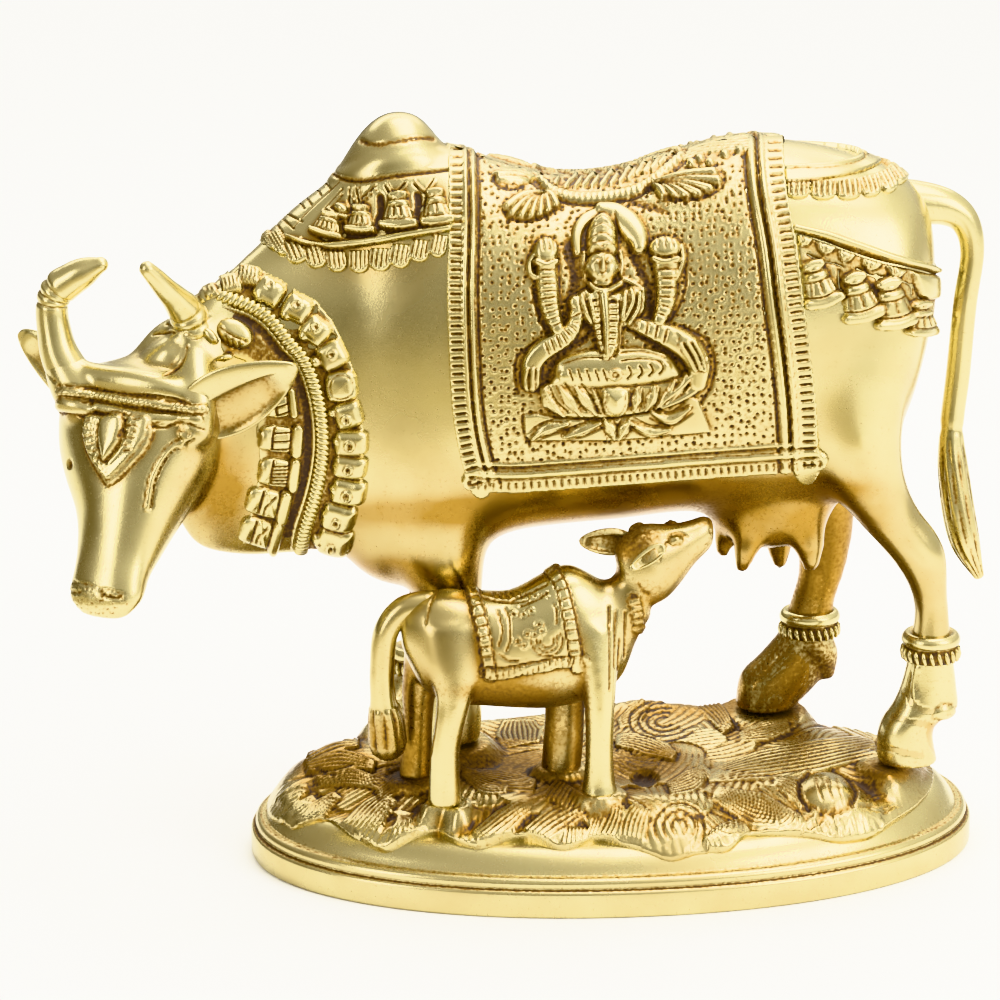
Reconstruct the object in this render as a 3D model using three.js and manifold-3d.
// Brass cow suckling her calf, both standing on an oval base of carved rock.
// Millimetres, +Z up. The origin is the middle of the base's underside. X runs along the cow,
// from her head at the low end to her tail, and her left side, where the calf is, faces -Y.
import * as THREE from "three";
import { mergeVertices } from "three/addons/utils/BufferGeometryUtils.js";
import Module from "manifold-3d";

const wasm = await Module();
wasm.setup();

// Driving dimensions
const GAP = 0.3; // air between a hoof and the ground under it
const BASE = { long: 85.4, deep: 48.6, square: 2.1, rim: 7, ring: 9.4, ground: 21.5 };
const COW_Y = 6; // the cow's middle plane
const BODY_SQUARE = 2.3; // 2 is an ellipse, more is boxier
const CALF_Y = -20;
const CLOTH_RISE = 0.9;
const BORDER_RISE = 1.5;
const FIGURE_RISE = 2.1;
const BEAD_RISE = 2.2;

// The body's ribs: where they stand, the back, the belly and half the width.
const TORSO = [
  { x: -66, top: 152, bottom: 76, half: 17 },
  { x: -58, top: 158, bottom: 66.5, half: 22 },
  { x: -48, top: 163, bottom: 63.5, half: 25 },
  { x: -37, top: 165, bottom: 68, half: 26 },
  { x: -26, top: 161.6, bottom: 75.5, half: 27 },
  { x: -12, top: 158.1, bottom: 77.7, half: 28 },
  { x: 1, top: 158.8, bottom: 78.5, half: 28 },
  { x: 15, top: 162.9, bottom: 79.9, half: 28 },
  { x: 28, top: 166.2, bottom: 79.8, half: 28 },
  { x: 42, top: 165.5, bottom: 80, half: 27.5 },
  { x: 56, top: 162.3, bottom: 84, half: 26 },
  { x: 66, top: 158, bottom: 99, half: 21.5 },
  { x: 71.5, top: 152, bottom: 116, half: 13 },
].map((rib) => ({ a: [rib.x, rib.top], b: [rib.x, rib.bottom], y: COW_Y, half: rib.half }));

// The neck's sections run from the nape (a) to the dewlap (b), and turn to the cow's left.
const NECK = [
  { a: [-54, 160], b: [-47, 64], y: 6, half: 23 },
  { a: [-66.5, 157], b: [-54, 67.5], y: 5, half: 20.5 },
  { a: [-75.5, 150.5], b: [-63.5, 72], y: 3, half: 17.5 },
  { a: [-82.5, 144.8], b: [-75, 73], y: 0.5, half: 15.2 },
  { a: [-88, 140.5], b: [-86, 73.8], y: -2.5, half: 13.6 },
  { a: [-93, 136.5], b: [-96, 77.5], y: -6, half: 12.5 },
  { a: [-98, 129], b: [-101, 86], y: -9, half: 9 },
];

// The hump leans a little forward over the shoulders.
const HUMP = [
  { a: [-76, 140], b: [-24, 140], y: COW_Y, half: 17 },
  { a: [-68, 152], b: [-32, 154], y: COW_Y, half: 13.5 },
  { a: [-62, 161.5], b: [-36.5, 162], y: COW_Y, half: 10.5 },
  { a: [-57.5, 168.6], b: [-39, 168.6], y: COW_Y, half: 8.2 },
  { a: [-54, 173.3], b: [-42.5, 173], y: COW_Y, half: 5.6 },
];

// The head has its own frame: across, out of the forehead, and up towards the crown.
const HEAD_TURN = THREE.MathUtils.degToRad(60); // to the cow's left, from straight ahead
const HEAD_LEAN = THREE.MathUtils.degToRad(23.6); // the forehead's slope from upright
const BROW = new THREE.Vector3(-110, -20, 115.8); // the middle of the brow rope
const HEAD = [
  { a: [-7, 18], b: [-18, 15], y: 1, half: 5 },
  { a: [-3, 14.5], b: [-24, 11.5], y: 0, half: 11 },
  { a: [-0.5, 8], b: [-28, 5], y: -2.4, half: 17 },
  { a: [0.5, 0], b: [-29, -4], y: -3.8, half: 19.6 },
  { a: [1, -8.5], b: [-28, -12.5], y: -3.8, half: 18.4 },
  { a: [0.5, -17], b: [-25, -19], y: -3.2, half: 15.4 },
  { a: [-0.5, -26], b: [-20.5, -26], y: -1.8, half: 11.4 },
  { a: [-1, -34], b: [-16, -33], y: -1.4, half: 9.4 },
  { a: [-0.8, -40.5], b: [-12.5, -37], y: -1.2, half: 8.8 },
  { a: [-1.5, -45.5], b: [-10.5, -41], y: -1.2, half: 9 },
  { a: [-4, -48], b: [-8.5, -45.5], y: -1.2, half: 6.5 },
];

// On the forehead, across and up: a rope over the brow, the drop under it and an eye's lid
const BROW_ROPE = [[-24, 1], [20, 1], [20, -1.8], [-24, -1.8]];
const DROP = [[-9, -3.4], [-4, -2.4], [4, -2.4], [9, -3.4], [8, -10], [4, -16], [0, -20.5], [-4, -16], [-8, -10]];
const DROP_MIDDLE = [0, -8];
const LID = [[14, -8], [12.6, -14], [10.6, -20]];
const FACE_RISE = { rope: 1.3, drop: 1.1 };
const FACE_CUT = { from: -14, depth: 26 }; // where the carving of the face starts, and how far out it goes

// Legs: front edge (a) and back edge (b) of each section, from inside the body to the sole.
const LEGS = {
  nearHind: [
    { a: [36, 116], b: [68, 128], y: -8, half: 13 },
    { a: [42, 96], b: [64.5, 108], y: -11, half: 11.5 },
    { a: [50.5, 84.5], b: [64.4, 96], y: -12, half: 9 },
    { a: [58, 76], b: [67.6, 85.5], y: -12, half: 6.8 },
    { a: [65, 67.5], b: [75.3, 74.5], y: -12, half: 6 },
    { a: [68.3, 59.5], b: [76.2, 61], y: -12, half: 4.6 },
    { a: [67.8, 51], b: [77.2, 51], y: -12, half: 4.9 },
    { a: [66.3, 42], b: [78.8, 40], y: -12, half: 5.4 },
    { a: [64.2, 36], b: [79, 34.5], y: -12, half: 6 },
    { a: [60.8, 29], b: [75.8, 29], y: -12, half: 6.4 },
    { a: [60.6, 21.2], b: [74.8, 21.2], y: -12, half: 6.6 },
  ],
  farHind: [
    { a: [28, 112], b: [64, 126], y: 19, half: 12 },
    { a: [34, 92], b: [61, 104], y: 21, half: 10.5 },
    { a: [41, 78], b: [60.5, 87], y: 23, half: 8 },
    { a: [46.4, 66], b: [61.2, 71], y: 25, half: 6.2 },
    { a: [48, 57], b: [59.5, 58.5], y: 26, half: 4.8 },
    { a: [46.2, 49], b: [56.7, 49], y: 26, half: 4.5 },
    { a: [43.6, 41.5], b: [56.4, 40], y: 26, half: 5.2 },
    { a: [38.8, 35.5], b: [55.4, 34], y: 26, half: 5.8 },
    { a: [34.2, 30.5], b: [53, 28.5], y: 26, half: 6.2 },
    { a: [33.2, 22.2], b: [47, 22.2], y: 26, half: 6.5 },
  ],
  nearFront: [
    { a: [-60, 100], b: [-28, 106], y: -8, half: 11 },
    { a: [-53, 80], b: [-28.5, 84], y: -5, half: 9.5 },
    { a: [-47, 66], b: [-30, 68], y: -1, half: 7.6 },
    { a: [-44.6, 55], b: [-31.2, 55], y: 1, half: 5.8 },
    { a: [-43.4, 46], b: [-32.2, 46], y: 2, half: 5.2 },
    { a: [-43.8, 39], b: [-31.4, 39], y: 3, half: 5.4 },
    { a: [-45, 32.5], b: [-30.6, 32], y: 3, half: 5.9 },
    { a: [-46.4, 25], b: [-31, 25], y: 3, half: 6.1 },
  ],
  farFront: [
    { a: [-60, 100], b: [-32, 104], y: 20, half: 10 },
    { a: [-55, 80], b: [-34, 82], y: 20, half: 8.5 },
    { a: [-51, 66], b: [-36, 67], y: 19.5, half: 7 },
    { a: [-49, 54], b: [-37.5, 54], y: 19.5, half: 5.3 },
    { a: [-48.6, 44], b: [-38.5, 44], y: 20, half: 4.7 },
    { a: [-49.5, 36.5], b: [-37.5, 36], y: 20, half: 5.2 },
    { a: [-53, 30], b: [-37.5, 29.5], y: 20, half: 5.6 },
    { a: [-54.5, 23], b: [-39.5, 23], y: 20, half: 6 },
  ],
};

// Rings that stand on a leg: the middle, and the leg's half width along X and Y
const ANKLETS = [
  { x: 72.5, y: -12, z: 50, along: 5.1, across: 5 },
  { x: 50.8, y: 26, z: 43.6, along: 5.6, across: 4.8 },
  { x: -37.8, y: 2.5, z: 42.2, along: 5.6, across: 5.2 },
  { x: -43.6, y: 20, z: 39.6, along: 5.4, across: 4.8 },
];
const ANKLET_TUBE = { out: 1.5, high: 2.8 };

// A tail or a horn is a line of points, each with its own radius.
const TAIL = [
  { at: [62, 6, 155], r: 4.2 },
  { at: [71, 6, 154.6], r: 3.2 },
  { at: [78.6, 5, 150], r: 2.9 },
  { at: [82, 4.5, 142], r: 2.8 },
  { at: [81, 4, 128], r: 2.8 },
  { at: [80.2, 4, 111], r: 2.8 },
  { at: [78.9, 3, 97], r: 2.8 },
  { at: [79.8, 1, 84], r: 3.5 },
  { at: [82.2, -1, 72], r: 3.4 },
  { at: [86, -2, 62], r: 1.8 },
];
const NEAR_HORN = [
  { at: [-96.5, -9, 126.5], r: 4.4 },
  { at: [-95.4, -14, 131.5], r: 3.6 },
  { at: [-98, -19.5, 137], r: 3.2 },
  { at: [-102.4, -23, 142.6], r: 2.6 },
  { at: [-106.4, -25, 147], r: 1.8 },
];
const FAR_HORN = [
  { at: [-122.5, -10, 118], r: 5 },
  { at: [-125.6, -8, 123], r: 4.3 },
  { at: [-126.9, -7, 129], r: 3.8 },
  { at: [-127, -6.5, 134], r: 3.6 },
  { at: [-125.8, -7, 138.6], r: 3.8 },
  { at: [-122.4, -8, 142.6], r: 3.2 },
  { at: [-118.6, -9, 144.4], r: 2.4 },
  { at: [-115.6, -10, 146.2], r: 1.2 },
];

// An ear is a hollow leaf from its root to its tip, open towards open.
const COW_EARS = [
  { root: [-94, -15, 110.5], tip: [-74.1, -22, 125], open: [0.1, -1, -0.35], wide: 6.6, thick: 2.4 },
  { root: [-117, -1, 110], tip: [-134.3, 9.5, 125.5], open: [-0.5, -0.85, -0.2], wide: 6.2, thick: 2.4 },
];

const UDDER = { at: [37, 5, 82], size: [15.5, 12, 11] };
const TEATS = [
  { at: [26.4, -4, 76.4], tip: [24.4, -6.4, 70.2], r: 2.6 },
  { at: [29.6, -4, 77], tip: [28.8, -6, 67.6], r: 3.2 },
  { at: [40, 9, 75], tip: [39.6, 10, 65], r: 2.8 },
  { at: [45, -3, 76], tip: [46, -5, 66.4], r: 3.6 },
];

// The saddle cloth as seen from the side, over the back and down both flanks.
const CLOTH = [[-37.4, 172], [-38.6, 150], [-38, 128], [-36.6, 108], [-34.6, 92.8], [4, 92.6], [45.2, 95.8],
  [42.4, 112], [39.6, 130], [38, 148], [39, 172]];
const CLOTH_MIDDLE = [3, 131];
const BORDER_INNER = 0.9; // the border's inner edge, as a share of the cloth
const FIGURE_X = -4.4; // the seated figure's middle, and the heights that it is set out by
const SEAT_Z = 119;
const LOTUS_Z = 104.5;
const LOTUS_PETALS = 5;
const SEATED = [ // the figure from its own middle line
  [[-3.4, 141], [2, 141], [2.6, 147], [0.8, 154.6], [-2, 154.6], [-3.8, 147]], // head and crown
  [[-6.8, 137.6], [5.8, 137.6], [9.6, 131], [11, 139], [10.4, 148.6], [13.4, 150.6], [16, 147.6], [15, 137],
    [12.4, 128.4], [20.6, 120.4], [18.6, 117.6], [10, 126], [4.4, 124.6], [-5.4, 124.6], [-11, 124.6],
    [-18.4, 117.6], [-20.4, 120], [-13.8, 128.6], [-17, 138], [-16.2, 148], [-13.6, 151.4], [-11.2, 148.2],
    [-13, 138], [-10.6, 131.6]], // chest and the four arms
  [[-21, 118], [-15, 121.6], [14, 121.6], [20.6, 118.4], [16, 114.4], [-16, 114.4]], // folded legs
];

// The calf
const CALF_TORSO = [
  { x: -50, top: 66, bottom: 54, half: 4.5 },
  { x: -46, top: 68.8, bottom: 46.5, half: 7.8 },
  { x: -40, top: 69.6, bottom: 43, half: 9.2 },
  { x: -33, top: 68.6, bottom: 42.2, half: 9.5 },
  { x: -26, top: 68.4, bottom: 41.5, half: 9.6 },
  { x: -19, top: 72, bottom: 41, half: 9.6 },
  { x: -13.5, top: 74.8, bottom: 41.5, half: 9 },
  { x: -8, top: 72.5, bottom: 43, half: 8 },
  { x: -3, top: 69, bottom: 47, half: 5.5 },
].map((rib) => ({ a: [rib.x, rib.top], b: [rib.x, rib.bottom], y: CALF_Y, half: rib.half }));
const CALF_NECK = [
  { a: [-14, 74], b: [-6, 43], y: CALF_Y, half: 8 },
  { a: [-7.5, 71.6], b: [-0.5, 48], y: CALF_Y, half: 6.6 },
  { a: [-3.5, 70.8], b: [3, 56.5], y: CALF_Y + 0.5, half: 5.4 },
  { a: [-0.5, 75], b: [6.5, 62], y: CALF_Y + 1, half: 5 },
];
const CALF_HEAD = [
  { a: [-1.5, 77.5], b: [3.5, 63.5], y: CALF_Y + 1, half: 4.4 },
  { a: [4, 80.8], b: [9, 65], y: CALF_Y + 1.5, half: 5.8 },
  { a: [9.5, 82.2], b: [12.8, 68.5], y: CALF_Y + 2.5, half: 5.2 },
  { a: [14.6, 83.3], b: [16.2, 72.8], y: CALF_Y + 3.5, half: 4.1 },
  { a: [18.6, 84.6], b: [19, 75.2], y: CALF_Y + 4.3, half: 3.7 },
  { a: [21, 83.6], b: [21, 76.6], y: CALF_Y + 4.8, half: 2.8 },
];
const CALF_LEGS = [
  [
    { a: [-49, 62], b: [-36, 63], y: -25, half: 5 },
    { a: [-47.4, 52], b: [-35.6, 51], y: -26.5, half: 5 },
    { a: [-45.6, 44], b: [-36.8, 42], y: -27.5, half: 4.2 },
    { a: [-45.6, 34], b: [-37.6, 33], y: -28, half: 3.5 },
    { a: [-46.2, 26], b: [-37.6, 26], y: -28, half: 3.6 },
    { a: [-45.8, 21.3], b: [-37.2, 21.3], y: -28, half: 3.9 },
  ],
  [
    { a: [-50, 62], b: [-38, 63], y: -15, half: 5 },
    { a: [-50, 52], b: [-40, 51], y: -13.5, half: 4.6 },
    { a: [-50.4, 44], b: [-42.6, 42], y: -12.5, half: 3.8 },
    { a: [-50.2, 34], b: [-43.4, 33], y: -12, half: 3.2 },
    { a: [-51.2, 22.6], b: [-43.6, 22.6], y: -12, half: 3.6 },
  ],
  [
    { a: [-14, 62], b: [-2.6, 61], y: -25, half: 4.6 },
    { a: [-11, 52], b: [-2.4, 51], y: -26.5, half: 4.3 },
    { a: [-10, 42], b: [-3.2, 41], y: -27.6, half: 3.6 },
    { a: [-9.6, 32], b: [-3.4, 32], y: -28, half: 3.2 },
    { a: [-10, 23.2], b: [-3.4, 23.2], y: -28, half: 3.6 },
  ],
  [
    { a: [-18, 58], b: [-7, 60], y: -15, half: 4.6 },
    { a: [-18.8, 46], b: [-10, 46], y: -13.5, half: 4 },
    { a: [-18.6, 36], b: [-11.6, 36], y: -12, half: 3.3 },
    { a: [-19.4, 29], b: [-11, 29], y: -12, half: 3.8 },
    { a: [-19.6, 23.6], b: [-10.6, 23.6], y: -12, half: 4.2 },
  ],
];
const CALF_TAIL = [
  { at: [-45, -20, 66.6], r: 3 },
  { at: [-50.5, -20, 65.2], r: 3 },
  { at: [-54.4, -20, 60], r: 2.9 },
  { at: [-55.4, -20, 51], r: 2.9 },
  { at: [-55.2, -20, 43.5], r: 3.1 },
  { at: [-54.6, -19, 37.5], r: 3.8 },
  { at: [-54.4, -18.6, 32.8], r: 3.2 },
];
const CALF_EARS = [
  { root: [1, -23, 72.6], tip: [-6.5, -27.6, 68], open: [-0.3, -1, 0.2], wide: 2.4, thick: 1.4 },
  { root: [1, -16, 76], tip: [-11.6, -14, 78.6], open: [-0.2, -1, 0.1], wide: 4, thick: 1.7 },
];
const CALF_CLOTH = [[-36.4, 90], [-35.4, 62], [-33, 46.4], [-9.8, 48], [-11.4, 62], [-17.6, 80]];
const CALF_CLOTH_MIDDLE = [-23.5, 59];
const CALF_BORDER_INNER = 0.78;
const CALF_RISE = { cloth: 0.6, border: 1.1 };

// Swellings and hollows of the rocky ground: middle, reach along X and Y, and height.
const MOUNDS = [
  { x: -64, y: 8, rx: 11, ry: 13, h: 4.4 },
  { x: -70, y: -14, rx: 8, ry: 8, h: -1.5 },
  { x: -26, y: -38, rx: 7, ry: 4, h: 1.2 },
  { x: 12, y: 34, rx: 9, ry: 7, h: 2.6 },
  { x: 29, y: 34, rx: 7, ry: 6, h: 1.8 },
  { x: 3, y: -10, rx: 6, ry: 6, h: -2.6 },
  { x: 4, y: -34, rx: 9, ry: 6, h: 1.8 },
  { x: 27, y: -30, rx: 9, ry: 6, h: -1.6 },
  { x: 50, y: -27, rx: 6, ry: 5, h: 2.2 },
  { x: 30, y: -4, rx: 12, ry: 8, h: -1.2 },
  { x: -26, y: 20, rx: 10, ry: 9, h: -1.2 },
];
const MANTLE = { lobes: 17, wave: 0.035, reach: 0.9, edge: 14.2, thick: 2.4 };
const GROUND_SIDES = 34; // two to a lobe of the mantle's edge
const GROUND_RINGS = 6;
const SKY = 30; // marks the ground's top before its height is worked out
const PLINTH = [[0, 0], [1, 0], [1, BASE.rim], [0.972, BASE.rim + 0.4], [0.966, BASE.ring - 0.6],
  [0.945, BASE.ring], [0.87, MANTLE.edge + 1], [0, MANTLE.edge + 1]]; // share of the oval, and height

// Level pads that the hooves stand on, just under each sole.
const PADS = [
  { x: 67.7, y: -12, z: 21.2, r: 9 },
  { x: 40, y: 26, z: 22.2, r: 9 },
  { x: -38.7, y: 3, z: 25, r: 9 },
  { x: -47, y: 20, z: 23, r: 9 },
  { x: -41.5, y: -28, z: 21.3, r: 6 },
  { x: -47.4, y: -12, z: 22.6, r: 6 },
  { x: -6.7, y: -28, z: 23.2, r: 6 },
  { x: -15.1, y: -12, z: 23.6, r: 6 },
];

// Value between four neighbours, on a curve through the middle two
function through(p, q, r, s, t) {
  const bend = 2 * p - 5 * q + 4 * r - s;
  return q + 0.5 * t * (r - p + t * (bend + t * (3 * (q - r) + s - p)));
}

// The section of a row of stations at t, from 0 at the first to 1 at the last
function sectionAt(stations, t) {
  const place = t * (stations.length - 1);
  const i = Math.min(Math.floor(place), stations.length - 2);
  const near = [i - 1, i, i + 1, i + 2].map((k) => stations[THREE.MathUtils.clamp(k, 0, stations.length - 1)]);
  const read = (pick) => through(...near.map(pick), place - i);
  return {
    a: [read((s) => s.a[0]), read((s) => s.a[1])],
    b: [read((s) => s.b[0]), read((s) => s.b[1])],
    y: read((s) => s.y),
    half: read((s) => s.half),
  };
}

const power = (value, exponent) => Math.sign(value) * Math.abs(value) ** exponent;

// A closed solid from any geometry whose skin is closed
function solid(geometry) {
  const bare = geometry.clone();
  bare.deleteAttribute("normal");
  bare.deleteAttribute("uv");
  const merged = mergeVertices(bare, 1e-3);
  const triVerts = new Uint32Array(merged.index.array);
  const vertProperties = new Float32Array(merged.attributes.position.array);
  const made = new wasm.Manifold(new wasm.Mesh({ numProp: 3, vertProperties, triVerts }));
  if (made.volume() >= 0) return made;
  for (let i = 0; i < triVerts.length; i += 3) {
    [triVerts[i + 1], triVerts[i + 2]] = [triVerts[i + 2], triVerts[i + 1]];
  }
  return new wasm.Manifold(new wasm.Mesh({ numProp: 3, vertProperties, triVerts }));
}

const join = (solids) => solids.reduce((all, next) => all.add(next));

// Moves each vertex of a geometry to place(vertex, index)
function reshape(geometry, place) {
  const position = geometry.getAttribute("position");
  const vertex = new THREE.Vector3();
  for (let i = 0; i < position.count; i++) {
    vertex.fromBufferAttribute(position, i);
    const moved = place(vertex, i);
    position.setXYZ(i, moved.x, moved.y, moved.z);
  }
  return geometry;
}

// A ball's grid drawn over stations: its rows become sections, its poles close the ends.
function loft(stations, { sides = 10, steps = 2, square = 2, grow = 0, pinch = 0 } = {}) {
  const rows = (stations.length - 1) * steps + 2;
  const ball = new THREE.SphereGeometry(1, sides, rows);
  return reshape(ball, (vertex, i) => {
    const row = Math.floor(i / (sides + 1));
    const turn = ((i % (sides + 1)) / sides) * 2 * Math.PI;
    const t = THREE.MathUtils.clamp((row - 1) / (rows - 2), 0, 1);
    const { a, b, y, half } = sectionAt(stations, t);
    const up = new THREE.Vector3(a[0] - b[0], 0, a[1] - b[1]).multiplyScalar(0.5);
    const middle = new THREE.Vector3((a[0] + b[0]) / 2, y, (a[1] + b[1]) / 2);
    if (row === 0 || row === rows) return middle;
    const rise = power(Math.sin(turn), 2 / square);
    const narrow = 1 - pinch * Math.max(0, -rise) ** 2;
    middle.addScaledVector(up, rise * (1 + grow / up.length()));
    middle.y += power(Math.cos(turn), 2 / square) * (half + grow) * narrow;
    return middle;
  });
}

// A round rod through points that each have a radius
function rod(points, { sides = 8, steps = 3 } = {}) {
  const curve = new THREE.CatmullRomCurve3(points.map((point) => new THREE.Vector3(...point.at)));
  const rows = (points.length - 1) * steps + 2;
  const frames = curve.computeFrenetFrames(rows - 2);
  const radii = points.map((point) => ({ a: [point.r, 0], b: [0, 0], y: 0, half: 0 }));
  const ball = new THREE.SphereGeometry(1, sides, rows);
  return reshape(ball, (vertex, i) => {
    const row = Math.floor(i / (sides + 1));
    const turn = ((i % (sides + 1)) / sides) * 2 * Math.PI;
    const step = THREE.MathUtils.clamp(row - 1, 0, rows - 2);
    const middle = curve.getPoint(step / (rows - 2));
    if (row === 0 || row === rows) return middle;
    const radius = sectionAt(radii, step / (rows - 2)).a[0];
    return middle
      .addScaledVector(frames.normals[step], Math.cos(turn) * radius)
      .addScaledVector(frames.binormals[step], Math.sin(turn) * radius);
  });
}

// A hollow leaf: an ellipsoid whose open side is pushed in
function ear({ root, tip, open, wide, thick }) {
  const start = new THREE.Vector3(...root);
  const along = new THREE.Vector3(...tip).sub(start);
  const out = new THREE.Vector3(...open).normalize();
  const across = new THREE.Vector3().crossVectors(along, out).normalize();
  out.crossVectors(across, along).normalize();
  return reshape(new THREE.SphereGeometry(1, 8, 5), ({ x, y, z }) => {
    const reach = (y + 1) / 2;
    const leaf = 1 - 0.35 * reach;
    const hollow = z > 0 ? 0.45 * thick * (1 - x * x) * (1 - y * y) * 2.4 : 0;
    return start.clone()
      .addScaledVector(along, reach)
      .addScaledVector(across, x * wide * leaf)
      .addScaledVector(out, z * thick - hollow);
  });
}

function teat({ at, tip, r }) {
  const start = new THREE.Vector3(...at);
  const axis = new THREE.Vector3(...tip).sub(start);
  const length = axis.length();
  const profile = [[0, -1], [r, -1], [r * 0.72, length * 0.45], [r * 0.36, length * 0.9], [0, length]];
  const turned = new THREE.LatheGeometry(profile.map(([x, y]) => new THREE.Vector2(x, y)), 6);
  turned.applyQuaternion(new THREE.Quaternion().setFromUnitVectors(new THREE.Vector3(0, 1, 0), axis.normalize()));
  return turned.translate(...at);
}

function anklet({ x, y, z, along, across }) {
  const tube = 0.25;
  return reshape(new THREE.TorusGeometry(1, tube, 4, 9), (vertex) => {
    const round = Math.hypot(vertex.x, vertex.y);
    const out = ((round - 1) / tube) * ANKLET_TUBE.out;
    const [dx, dy] = [vertex.x / round, vertex.y / round];
    return new THREE.Vector3(
      x + dx * (along + out),
      y + dy * (across + out),
      z + (vertex.z / tube) * ANKLET_TUBE.high,
    );
  });
}

// A flat outline in the side view, drawn through the body from one Y to the other
function slab(outline, from, to) {
  const shape = new THREE.Shape(outline.map(([x, z]) => new THREE.Vector2(x, z)));
  const block = new THREE.ExtrudeGeometry(shape, { depth: to - from, bevelEnabled: false });
  return solid(reshape(block, ({ x, y, z }) => new THREE.Vector3(x, from + z, y)));
}

const scaled = (outline, [cx, cz], by) => outline.map(([x, z]) => [cx + (x - cx) * by, cz + (z - cz) * by]);

// An oval outline of few sides, leaning by lean
function oval(cx, cz, rx, rz, lean = 0, sides = 10) {
  return Array.from({ length: sides }, (unused, i) => {
    const turn = (i / sides) * 2 * Math.PI;
    const [u, v] = [rx * Math.cos(turn), rz * Math.sin(turn)];
    return [cx + u * Math.cos(lean) - v * Math.sin(lean), cz + u * Math.sin(lean) + v * Math.cos(lean)];
  });
}

// A band of even width along a line of points
function band(points, width) {
  const side = (sign) => points.map(([x, z], i) => {
    const before = points[Math.max(i - 1, 0)];
    const after = points[Math.min(i + 1, points.length - 1)];
    const [dx, dz] = [after[0] - before[0], after[1] - before[1]];
    const length = Math.hypot(dx, dz);
    return [x - (sign * dz * width) / 2 / length, z + (sign * dx * width) / 2 / length];
  });
  return [...side(1), ...side(-1).reverse()];
}

// The line's lower side cut into round tabs that hang down by depth
function scallops(points, count, depth) {
  const curve = new THREE.SplineCurve(points.map(([x, z]) => new THREE.Vector2(x, z)));
  const tab = [[0.04, 0], [0.24, 0.95], [0.76, 0.95], [0.96, 0]];
  const outline = [];
  for (let i = 0; i < count; i++) {
    tab.forEach(([share, drop]) => {
      const t = (i + share) / count;
      const place = curve.getPointAt(t);
      const heading = curve.getTangentAt(t);
      outline.push([place.x + heading.y * depth * drop, place.y - heading.x * depth * drop]);
    });
  }
  return outline;
}

// Places at even steps along a line of points, with the line's direction there
function stepsAlong(points, count) {
  const curve = new THREE.SplineCurve(points.map(([x, z]) => new THREE.Vector2(x, z)));
  return Array.from({ length: count }, (unused, i) => {
    const t = (i + 0.5) / count;
    const place = curve.getPointAt(t);
    const heading = curve.getTangentAt(t);
    return { x: place.x, z: place.y, lean: Math.atan2(heading.y, heading.x) };
  });
}

const REACH = 60; // far enough to each side to pass the body's skin
const NEAR = [-REACH, COW_Y];
const FAR = [COW_Y, REACH];
const BOTH = [-REACH, REACH];

// The cow's trunk, neck and hump with their skin moved out by grow
function trunk(grow) {
  const body = solid(loft(TORSO, { sides: 16, steps: 1, square: BODY_SQUARE, grow }));
  const neck = solid(loft(NECK, { sides: 12, steps: 1, grow, pinch: 0.35 }));
  const hump = solid(loft(HUMP, { sides: 10, steps: 1, grow }));
  return join([body, neck, hump]);
}

// What a side-view outline raises on the trunk
const raised = (skin, outline, [from, to] = BOTH) => skin.intersect(slab(outline, from, to));

function saddleCloth(cloth, border, figure) {
  const pieces = [raised(cloth, CLOTH)];
  pieces.push(raised(border, CLOTH, NEAR).subtract(slab(scaled(CLOTH, CLOTH_MIDDLE, BORDER_INNER), ...BOTH)));
  const x = FIGURE_X;
  const garland = [[x - 24, 161], [x - 12, 156.4], [x + 10, 157], [x + 22, 162]];
  pieces.push(raised(border, band(garland, 3.4), NEAR));
  pieces.push(raised(border, oval(x, 143.5, 8.4, 10, 0, 8), NEAR)); // halo
  const pedestal = [[x - 19, LOTUS_Z - 2], [x + 23, LOTUS_Z - 2], [x + 20, LOTUS_Z + 4.5], [x - 17, LOTUS_Z + 4.5]];
  pieces.push(raised(border, pedestal, NEAR));
  SEATED.forEach((outline) => {
    pieces.push(raised(figure, outline.map(([across, z]) => [x + across, z]), NEAR));
  });
  for (let i = 0; i < LOTUS_PETALS; i++) {
    const lean = (i / (LOTUS_PETALS - 1) - 0.5) * 2;
    pieces.push(raised(figure, oval(x + lean * 15, LOTUS_Z + 7, 3.8, 5.2, lean * 0.7, 5), NEAR));
  }
  return pieces;
}

// The hump's cloth, with a rolled hem and a fringe of round tabs
const TAB_DEPTH = 5.4;
const HEM = [[-79, 153], [-73.5, 147], [-66, 143.6], [-57, 142.6], [-48, 144.4], [-39.6, 148.6]];
function humpCloth(cloth, border) {
  const [first, last] = [HEM[0], HEM[HEM.length - 1]];
  const top = [[last[0], 166], [-61, 164], [first[0] + 3, first[1] + 3]];
  const fringe = scallops(HEM, 8, TAB_DEPTH);
  const pieces = [raised(cloth, [...fringe, ...top], NEAR), raised(cloth, [...HEM, ...top], FAR)];
  pieces.push(raised(border, band(HEM, 1.8), NEAR));
  stepsAlong(HEM.slice(1), 4).forEach(({ x, z, lean }) => {
    const [cx, cz] = [x - 5 * Math.sin(lean), z + 5 * Math.cos(lean)];
    pieces.push(raised(border, oval(cx, cz, 3, 3.2, lean + Math.PI / 4, 4), NEAR));
  });
  return pieces;
}

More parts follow.
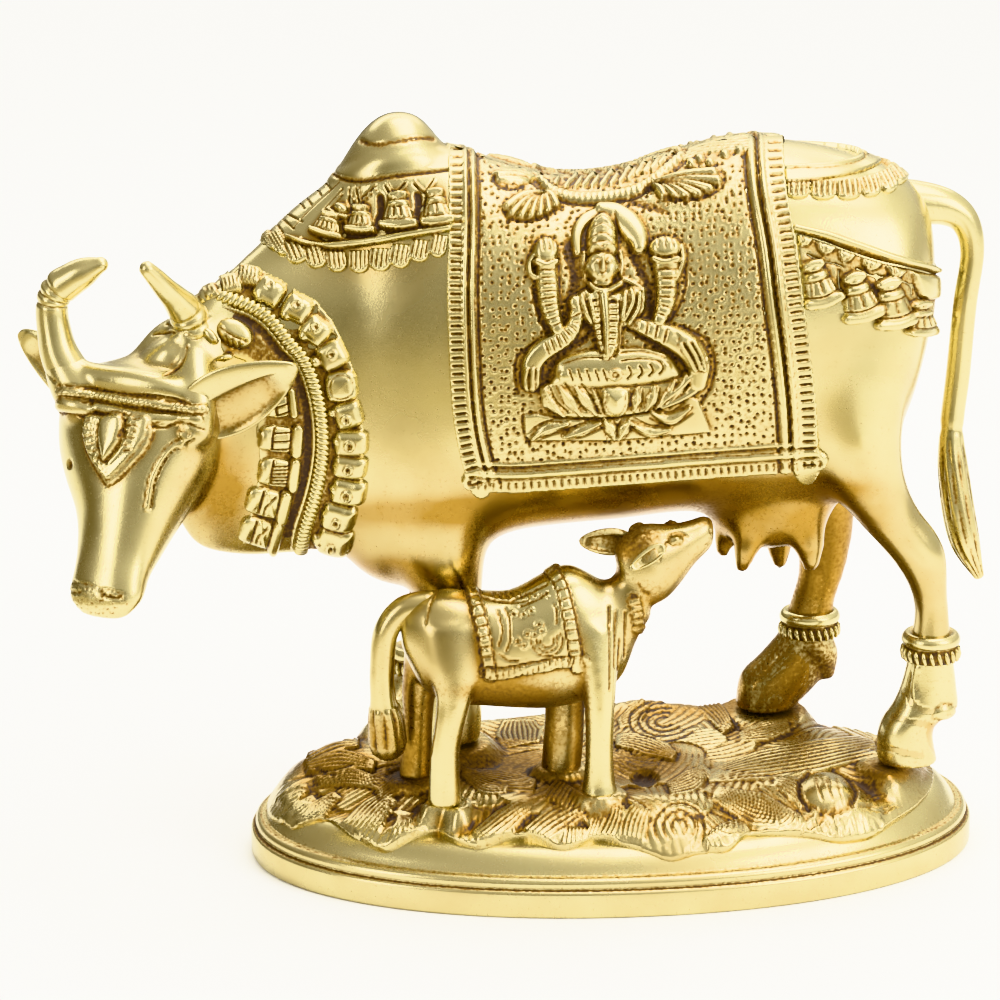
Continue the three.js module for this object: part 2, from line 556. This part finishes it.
// The collar: a twisted rope between an inner and an outer row of beads
const ROPE = [[-88, 137.5], [-75.5, 122], [-68, 108], [-64.5, 95], [-66, 84], [-69.5, 73]];
const OUTER_BEADS = [[-79.5, 142], [-69.5, 133], [-60.5, 121], [-56.4, 108], [-55.6, 94], [-59, 82], [-64, 73.5]];
const INNER_BEADS = [[-90, 131.5], [-83, 118], [-76.5, 106], [-73.4, 95], [-74.6, 84], [-78, 74.5]];
function collar(border, bead) {
  const pieces = [raised(border, band(ROPE, 2.2), NEAR)];
  const row = (line, count, r) => stepsAlong(line, count).forEach(({ x, z, lean }) => {
    pieces.push(raised(bead, oval(x, z, r, r, lean + Math.PI / 4, 4), NEAR));
  });
  row(OUTER_BEADS, 9, 4);
  row(INNER_BEADS, 6, 4.4);
  return pieces;
}

// The two rump bands, the lower one hung with bells
const UPPER_BAND = [[37.8, 161], [48, 159.8], [58, 158], [67.5, 156]];
const LOWER_BAND = [[38, 151], [48, 148], [58, 143.5], [68, 139], [76, 134.5]];
function rumpBands(cloth, border, bead) {
  const pieces = [raised(border, band(UPPER_BAND, 2.4), NEAR), raised(border, band(LOWER_BAND, 3.4), NEAR)];
  const [first, last] = [UPPER_BAND[0], UPPER_BAND[UPPER_BAND.length - 1]];
  const tabs = scallops(UPPER_BAND, 5, TAB_DEPTH * 0.8);
  pieces.push(raised(cloth, [...tabs, [last[0], last[1] + 1], [first[0], first[1] + 1]], NEAR));
  stepsAlong(LOWER_BAND, 5).forEach(({ x, z }) => {
    pieces.push(raised(bead, [[x - 2.2, z - 1], [x - 3.5, z - 10.5], [x + 3.5, z - 10.5], [x + 2.2, z - 1]], NEAR));
  });
  return pieces;
}

// The frame that puts the head on the neck
function headFrame() {
  const across = new THREE.Vector3(Math.sin(HEAD_TURN), -Math.cos(HEAD_TURN), 0);
  const level = new THREE.Vector3(-Math.cos(HEAD_TURN), -Math.sin(HEAD_TURN), 0);
  const out = level.clone().multiplyScalar(Math.cos(HEAD_LEAN)).setZ(Math.sin(HEAD_LEAN));
  const up = level.clone().multiplyScalar(-Math.sin(HEAD_LEAN)).setZ(Math.cos(HEAD_LEAN));
  return new THREE.Matrix4().makeBasis(out, across, up).setPosition(BROW);
}

function cowHead() {
  const frame = headFrame();
  const skin = (grow) => solid(loft(HEAD, { sides: 12, steps: 1, square: 2.3, grow }).applyMatrix4(frame));
  const prism = (outline) => {
    const shape = new THREE.Shape(outline.map(([across, up]) => new THREE.Vector2(across, up)));
    const block = new THREE.ExtrudeGeometry(shape, { depth: FACE_CUT.depth, bevelEnabled: false });
    const forward = ({ x, y, z }) => new THREE.Vector3(z + FACE_CUT.from, x, y);
    return solid(reshape(block, forward).applyMatrix4(frame));
  };
  const [head, rope, drop] = [0, FACE_RISE.rope, FACE_RISE.drop].map(skin);
  const pieces = [
    head,
    rope.intersect(prism(BROW_ROPE)),
    drop.intersect(prism(DROP)),
    rope.intersect(prism(scaled(DROP, DROP_MIDDLE, 0.5))),
  ];
  [-1, 1].forEach((side) => {
    const lid = LID.map(([across, up]) => [side * across, up]);
    pieces.push(rope.intersect(prism(band(lid, 2.6))));
  });
  COW_EARS.forEach((leaf) => pieces.push(solid(ear(leaf))));
  [NEAR_HORN, FAR_HORN].forEach((horn) => pieces.push(solid(rod(horn, { sides: 6, steps: 1 }))));
  return pieces;
}

function makeCow() {
  const [skin, cloth, border, figure, bead] = [0, CLOTH_RISE, BORDER_RISE, FIGURE_RISE, BEAD_RISE].map(trunk);
  const udder = new THREE.SphereGeometry(1, 9, 6).scale(...UDDER.size).translate(...UDDER.at);
  return join([
    skin,
    ...saddleCloth(cloth, border, figure),
    ...humpCloth(cloth, border),
    ...collar(border, bead),
    ...rumpBands(cloth, border, bead),
    ...cowHead(),
    ...Object.values(LEGS).map((leg) => solid(loft(leg, { sides: 7, steps: 1, square: 2.2 }))),
    ...ANKLETS.map((ring) => solid(anklet(ring))),
    solid(rod(TAIL, { sides: 6, steps: 1 })),
    solid(udder),
    ...TEATS.map((one) => solid(teat(one))),
  ]);
}

function makeCalf() {
  const skin = (grow) => solid(loft(CALF_TORSO, { sides: 12, steps: 1, square: 2.2, grow }));
  const [cloth, border] = [skin(CALF_RISE.cloth), skin(CALF_RISE.border)];
  const inside = slab(scaled(CALF_CLOTH, CALF_CLOTH_MIDDLE, CALF_BORDER_INNER), ...BOTH);
  const near = [-REACH, CALF_Y];
  const seal = oval(...CALF_CLOTH_MIDDLE, 5.5, 4.5, 0, 6);
  return join([
    skin(0),
    cloth.intersect(slab(CALF_CLOTH, ...BOTH)),
    border.intersect(slab(CALF_CLOTH, ...near)).subtract(inside),
    border.intersect(slab(seal, ...near)),
    solid(loft(CALF_NECK, { sides: 9, steps: 1 })),
    solid(loft(CALF_HEAD, { sides: 9, steps: 1 })),
    ...CALF_LEGS.map((leg) => solid(loft(leg, { sides: 7, steps: 1 }))),
    solid(rod(CALF_TAIL, { sides: 6, steps: 1 })),
    ...CALF_EARS.map((leaf) => solid(ear(leaf))),
  ]);
}

// Height of the ground at a place, where reach is 1 at the mantle's lobed edge
function groundAt(x, y, reach) {
  const fall = THREE.MathUtils.smoothstep(reach, 0.7, 1);
  let z = BASE.ground - (BASE.ground - MANTLE.edge - MANTLE.thick) * fall;
  MOUNDS.forEach((mound) => {
    const away = ((x - mound.x) / mound.rx) ** 2 + ((y - mound.y) / mound.ry) ** 2;
    z += mound.h * Math.exp(-away);
  });
  PADS.forEach((pad) => {
    const level = 1 - THREE.MathUtils.smoothstep(Math.hypot(x - pad.x, y - pad.y), pad.r, pad.r + 5);
    z += (pad.z - GAP - z) * level;
  });
  return z;
}

// A turned profile stretched to the base's oval
function ovalTurning(profile, sides) {
  const turned = new THREE.LatheGeometry(profile.map(([r, z]) => new THREE.Vector2(r, z)), sides);
  return reshape(turned, ({ x, y: height, z }) => {
    const turn = Math.atan2(z, x);
    const r = Math.hypot(x, z);
    return new THREE.Vector3(
      power(Math.cos(turn), 2 / BASE.square) * BASE.long * r,
      power(Math.sin(turn), 2 / BASE.square) * BASE.deep * r,
      height,
    );
  });
}

function makeBase() {
  const profile = [[0, BASE.ring], [0.8, BASE.ring], [0.94, MANTLE.edge], [1, MANTLE.edge]];
  for (let i = 0; i <= GROUND_RINGS; i++) profile.push([1 - i / GROUND_RINGS, SKY]);
  const ground = ovalTurning(profile, GROUND_SIDES);
  reshape(ground, ({ x, y, z }) => {
    const turn = Math.atan2(y / BASE.deep, x / BASE.long);
    const lobe = 1 - MANTLE.wave + MANTLE.wave * Math.abs(Math.sin((turn * MANTLE.lobes) / 2)) * 2;
    const reach = Math.hypot(x / BASE.long, y / BASE.deep);
    const [px, py] = [x * MANTLE.reach * lobe, y * MANTLE.reach * lobe];
    return new THREE.Vector3(px, py, z === SKY ? groundAt(px, py, reach) : z);
  });
  return solid(ovalTurning(PLINTH, GROUND_SIDES)).add(solid(ground));
}

// A mesh from a solid, with the finish of cast brass
function brassMesh(name, made, color) {
  const { vertProperties, triVerts } = made.getMesh();
  const geometry = new THREE.BufferGeometry();
  geometry.setAttribute("position", new THREE.BufferAttribute(vertProperties, 3));
  geometry.setIndex(new THREE.BufferAttribute(triVerts, 1));
  geometry.computeVertexNormals();
  const brass = new THREE.MeshStandardMaterial({ color, roughness: 0.28, metalness: 1 });
  const mesh = new THREE.Mesh(geometry, brass);
  mesh.name = name;
  return mesh;
}

const statue = new THREE.Group();
statue.add(brassMesh("cow", makeCow(), 0xd9b64a));
statue.add(brassMesh("calf", makeCalf(), 0xd6b24c));
statue.add(brassMesh("base", makeBase(), 0xcfa84a));
export default statue;
